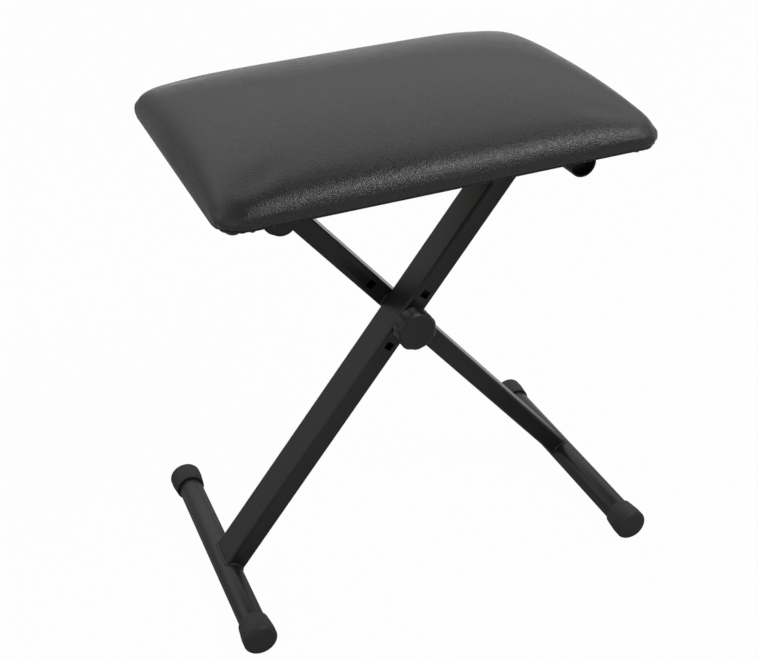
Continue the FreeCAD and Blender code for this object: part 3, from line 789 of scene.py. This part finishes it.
def makeCushion():
    low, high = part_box("seat_cover")
    piece = addPiece(cushionBlank(low, high), "seatCushion", materials["black_vinyl"], 180)
    inflate(piece, low)
    bm = bmesh.new()
    bm.from_mesh(piece.data)
    soft = [vert for vert in bm.verts if vert.co.z > low.z + cushion["softFrom"] * mm]
    for step in range(cushion["passes"]):
        bmesh.ops.smooth_vert(bm, verts=soft, factor=0.5, use_axis_x=True, use_axis_y=True, use_axis_z=True)
    fitBox(bm, low, high)
    gatherCorners(bm, low, high)
    bm.to_mesh(piece.data)
    bm.free()
    fine = piece.modifiers.new("fine", "SUBSURF")
    fine.levels = fine.render_levels = 1
    seatPiece(piece, "seat", "black_vinyl", "seat_cover", "seat_foam")


makeCushion()
print("cushion blown up")


# hem of the cover under the board, with its staples
hemLook = dict(inset=3.6, width=25.0, thickness=0.9, corner=26.0, spacing=4.0, rows=5, gap=0.05, lip=0.5,
               ragged=1.2, raggedScale=60, raggedSeed=7, ripple=1.1, rippleStep=1.9, rippleRise=2.5, sink=1.3,
               sinkRise=3, sinkStart=0.3, angle=50)
stapleLook = dict(count=44, inset=15, corner=14, width=10.0, breadth=1.2, wire=0.7, turn=0.25, stray=1.5,
                  cornerDrop=2.2, bevel=0.2, segments=2, angle=30)


def gathering(out):
    # 0 along the sides, 1 where the hem turns a corner
    return min(1, abs(out.x * out.y) * 2.2)


def makeHem():
    low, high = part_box("seat_cover")
    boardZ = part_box("seat_board")[0].z
    halfX, halfY = (high.x - low.x) / 2, (high.y - low.y) / 2
    inset, width, thickness = hemLook["inset"] * mm, hemLook["width"] * mm, hemLook["thickness"] * mm
    last = hemLook["rows"]
    loop = loopPoints(halfX - inset, halfY - inset, hemLook["corner"] * mm, hemLook["spacing"] * mm)
    bm = bmesh.new()
    sheets = []
    for lift, order in ((0, range(last + 1)), (thickness, range(last, -1, -1))):
        for row in order:
            share = row / last
            verts = []
            for index, (spot, out, _) in enumerate(loop):
                ragged = 0
                if row == last:
                    seed = Vector((0, 0, hemLook["raggedSeed"]))
                    ragged = hemLook["ragged"] * mm * noise.noise(spot * hemLook["raggedScale"] + seed)
                gather = gathering(out)
                ripple = math.sin(index * hemLook["rippleStep"]) * hemLook["ripple"] * mm * gather
                ripple *= min(1, share * hemLook["rippleRise"])
                sunk = min(1, share * hemLook["sinkRise"] + hemLook["sinkStart"])
                sink = hemLook["sink"] * mm * gather * sunk
                place = spot - out * ((width - inset) * share + ragged)
                place.z = boardZ - thickness - hemLook["gap"] * mm - sink + min(ripple, 0) + lift
                if row == 0:
                    place.z += hemLook["lip"] * mm
                verts.append(bm.verts.new(place))
            sheets.append(verts)
    for upper, lower in zip(sheets, sheets[1:] + sheets[:1]):
        for index in range(len(loop)):
            after = (index + 1) % len(loop)
            bm.faces.new((upper[index], upper[after], lower[after], lower[index]))
    piece = addPiece(bm, "coverHem", materials["black_vinyl"], hemLook["angle"])
    seatPiece(piece, "seat", "black_vinyl")


def makeStaples():
    low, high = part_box("seat_cover")
    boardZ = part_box("seat_board")[0].z
    inset = stapleLook["inset"] * mm
    halfX, halfY = (high.x - low.x) / 2 - inset, (high.y - low.y) / 2 - inset
    total = 4 * (halfX + halfY)
    loop = loopPoints(halfX, halfY, stapleLook["corner"] * mm, total / stapleLook["count"])
    size = [stapleLook[key] * mm for key in ("width", "breadth", "wire")]
    draw = random.Random(3)
    bm = bmesh.new()
    for spot, out, along in loop:
        wire = bmesh.ops.create_cube(bm, size=1)["verts"]
        bmesh.ops.scale(bm, vec=size, verts=wire)
        turn = math.atan2(along.y, along.x) + draw.uniform(-stapleLook["turn"], stapleLook["turn"])
        bmesh.ops.rotate(bm, verts=wire, cent=(0, 0, 0), matrix=Matrix.Rotation(turn, 3, "Z"))
        shift = out * draw.uniform(-stapleLook["stray"], stapleLook["stray"]) * mm
        drop = hemLook["thickness"] + stapleLook["wire"] / 2 + stapleLook["cornerDrop"] * gathering(out)
        bmesh.ops.translate(bm, verts=wire, vec=(spot.x + shift.x, spot.y + shift.y, boardZ - drop * mm))
    bevelSharp(bm, stapleLook["bevel"] * mm, stapleLook["segments"], stapleLook["angle"])
    piece = addPiece(bm, "hemStaples", materials["zinc_steel"])
    seatPiece(piece, "seat", "zinc_steel")


# gathered folds under each corner: turn from the corner's own line, distance from the corner's
# centre, and the half length, half width and half height of each
foldLook = [
    dict(turn=-0.75, place=18.5, size=(5.5, 4.0, 4.6)),
    dict(turn=-0.3, place=16.5, size=(7.0, 6.0, 5.4)),
    dict(turn=0.05, place=17.0, size=(7.5, 9.0, 6.4)),
    dict(turn=0.42, place=16.5, size=(7.0, 6.0, 5.0)),
    dict(turn=0.85, place=18.5, size=(5.5, 3.6, 4.2)),
]
foldWear = dict(turn=0.06, smallest=0.85, largest=1.1, lump=0.6, lumpScale=120)


def makeCornerFolds():
    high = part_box("seat_cover")[1]
    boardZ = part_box("seat_board")[0].z
    corner = cushion["corner"] * mm
    draw = random.Random(8)
    bm = bmesh.new()
    for signX in (-1, 1):
        for signY in (-1, 1):
            centre = Vector((signX * (high.x - corner), signY * (high.y - corner), 0))
            for fold in foldLook:
                turn = math.pi / 4 + fold["turn"] + draw.uniform(-foldWear["turn"], foldWear["turn"])
                out = Vector((signX * math.cos(turn), signY * math.sin(turn), 0))
                ball = bmesh.ops.create_icosphere(bm, subdivisions=4, radius=1)["verts"]
                size = Vector(fold["size"]) * draw.uniform(foldWear["smallest"], foldWear["largest"]) * mm
                bmesh.ops.scale(bm, verts=ball, vec=size)
                spin = Matrix.Rotation(math.atan2(out.y, out.x), 3, "Z")
                bmesh.ops.rotate(bm, verts=ball, cent=(0, 0, 0), matrix=spin)
                spot = centre + out * fold["place"] * mm
                spot.z = boardZ
                bmesh.ops.translate(bm, verts=ball, vec=spot)
    for vert in bm.verts:
        lump = noise.noise(vert.co * foldWear["lumpScale"])
        vert.co += Vector((0, 0, foldWear["lump"] * mm * lump))
    piece = addPiece(bm, "cornerFolds", materials["black_vinyl"], 180, clean=False)
    seatPiece(piece, "seat", "black_vinyl")


makeHem()
makeStaples()
makeCornerFolds()
print("hem and staples made")


# studio: a pale floor that shines in reflections behind the bench and to its right,
# white walls behind it and a dark ceiling
floorLook = dict(size=9.0, shade=0.5, glow=0.98, scale=0.25, centre=0.5, back=[(0.5, 0.0), (0.62, 0.9)],
                 right=[(0.5, 0.15), (0.56, 1.0)])
wallLook = dict(behind=[(0.0, 0.2), (0.35, 0.56), (0.55, 1.0), (0.8, 1.0), (0.86, 0.05)],
                before=[(0.0, 0.3), (0.4, 0.22), (0.75, 0.12), (1.0, 0.08)], turn=[(0.42, 0.0), (0.62, 1.0)])
softBoxes = [
    dict(name="topBox", place=(0.95, -1.1, 1.95), target=(0.1, -0.15, 0.45),
         width=1.3, height=0.34, watts=18),
    dict(name="leftBox", place=(-1.7, -1.2, 0.9), target=(0, 0, 0.3),
         width=0.8, height=1.0, watts=3),
]
# place in metres and angles in radians, with the focal length and the picture's width in pixels
shot = dict(place=(-0.39709, -1.01716, 0.86826), yaw=0.36, pitch=0.5301, roll=-0.0482, focal=1281.98,
            width=758, sensor=36)


def splitAxes(tree, output):
    place = tree.nodes.new("ShaderNodeTexCoord").outputs[output]
    split = tree.nodes.new("ShaderNodeSeparateXYZ")
    tree.links.new(place, split.inputs[0])
    return split.outputs


def makeFloor():
    bm = bmesh.new()
    bmesh.ops.create_grid(bm, x_segments=1, y_segments=1, size=floorLook["size"])
    material = bpy.data.materials.new("studioFloor")
    material.use_nodes = True
    tree = material.node_tree
    tree.nodes.clear()
    output = tree.nodes.new("ShaderNodeOutputMaterial")
    paint = addNode(tree, "ShaderNodeBsdfDiffuse", Color=(floorLook["shade"],) * 3 + (1,))
    glow = addNode(tree, "ShaderNodeEmission", Color=(1, 1, 1, 1))
    path = tree.nodes.new("ShaderNodeLightPath")
    axes = splitAxes(tree, "Object")
    back, right = (mathNode(tree, "MULTIPLY_ADD", axes[axis], floorLook["scale"], floorLook["centre"])
                   for axis in ("Y", "X"))
    shine = mathNode(tree, "MULTIPLY", ramp(tree, back, floorLook["back"]),
                     ramp(tree, right, floorLook["right"]))
    seen = mathNode(tree, "MAXIMUM", path.outputs["Is Camera Ray"],
                    mathNode(tree, "MULTIPLY", path.outputs["Is Glossy Ray"], shine))
    mix = tree.nodes.new("ShaderNodeMixShader")
    tree.links.new(mathNode(tree, "MULTIPLY", seen, floorLook["glow"]), mix.inputs[0])
    tree.links.new(paint.outputs[0], mix.inputs[1])
    tree.links.new(glow.outputs[0], mix.inputs[2])
    tree.links.new(mix.outputs[0], output.inputs["Surface"])
    floor = addPiece(bm, "studioFloorSheet", material, clean=False)


def makeWorld():
    world = bpy.data.worlds.new("studio")
    scene.world = world
    world.use_nodes = True
    tree = world.node_tree
    tree.nodes.clear()
    output = tree.nodes.new("ShaderNodeOutputWorld")
    sky = tree.nodes.new("ShaderNodeBackground")
    axes = splitAxes(tree, "Generated")
    walls = tree.nodes.new("ShaderNodeMix")
    walls.data_type = "RGBA"
    facing = mathNode(tree, "MULTIPLY_ADD", axes["Y"], 0.5, 0.5)
    tree.links.new(ramp(tree, facing, wallLook["turn"]), walls.inputs["Factor"])
    tree.links.new(ramp(tree, axes["Z"], wallLook["before"]), walls.inputs["A"])
    tree.links.new(ramp(tree, axes["Z"], wallLook["behind"]), walls.inputs["B"])
    white = tree.nodes.new("ShaderNodeMix")
    white.data_type = "RGBA"
    white.inputs["B"].default_value = (1, 1, 1, 1)
    path = tree.nodes.new("ShaderNodeLightPath")
    tree.links.new(path.outputs["Is Camera Ray"], white.inputs["Factor"])
    tree.links.new(walls.outputs["Result"], white.inputs["A"])
    tree.links.new(white.outputs["Result"], sky.inputs["Color"])
    tree.links.new(sky.outputs[0], output.inputs["Surface"])


def softBox(name, place, target, width, height, watts):
    light = bpy.data.lights.new(name, "AREA")
    light.shape = "RECTANGLE"
    light.size, light.size_y = width, height
    light.energy = watts
    lamp = bpy.data.objects.new(name, light)
    scene.collection.objects.link(lamp)
    lamp.location = place
    lamp.rotation_mode = "QUATERNION"
    lamp.rotation_quaternion = (Vector(target) - Vector(place)).to_track_quat("-Z", "Y")


def makeCamera():
    camera = bpy.data.cameras.new("camera")
    camera.sensor_fit = "HORIZONTAL"
    camera.sensor_width = shot["sensor"]
    camera.lens = shot["focal"] / shot["width"] * shot["sensor"]
    holder = bpy.data.objects.new("camera", camera)
    scene.collection.objects.link(holder)
    yaw, pitch, roll = shot["yaw"], shot["pitch"], shot["roll"]
    forward = Vector((math.sin(yaw) * math.cos(pitch), math.cos(yaw) * math.cos(pitch), -math.sin(pitch)))
    level = Vector((math.cos(yaw), -math.sin(yaw), 0))
    up = level.cross(forward)
    right = level * math.cos(roll) + up * math.sin(roll)
    top = -level * math.sin(roll) + up * math.cos(roll)
    turn = Matrix((right, top, -forward)).transposed()
    holder.matrix_world = Matrix.Translation(Vector(shot["place"])) @ turn.to_4x4()
    scene.camera = holder


makeFloor()
makeWorld()
for box in softBoxes:
    softBox(**box)
makeCamera()
scene.view_settings.view_transform = "Standard"
print("studio lit")
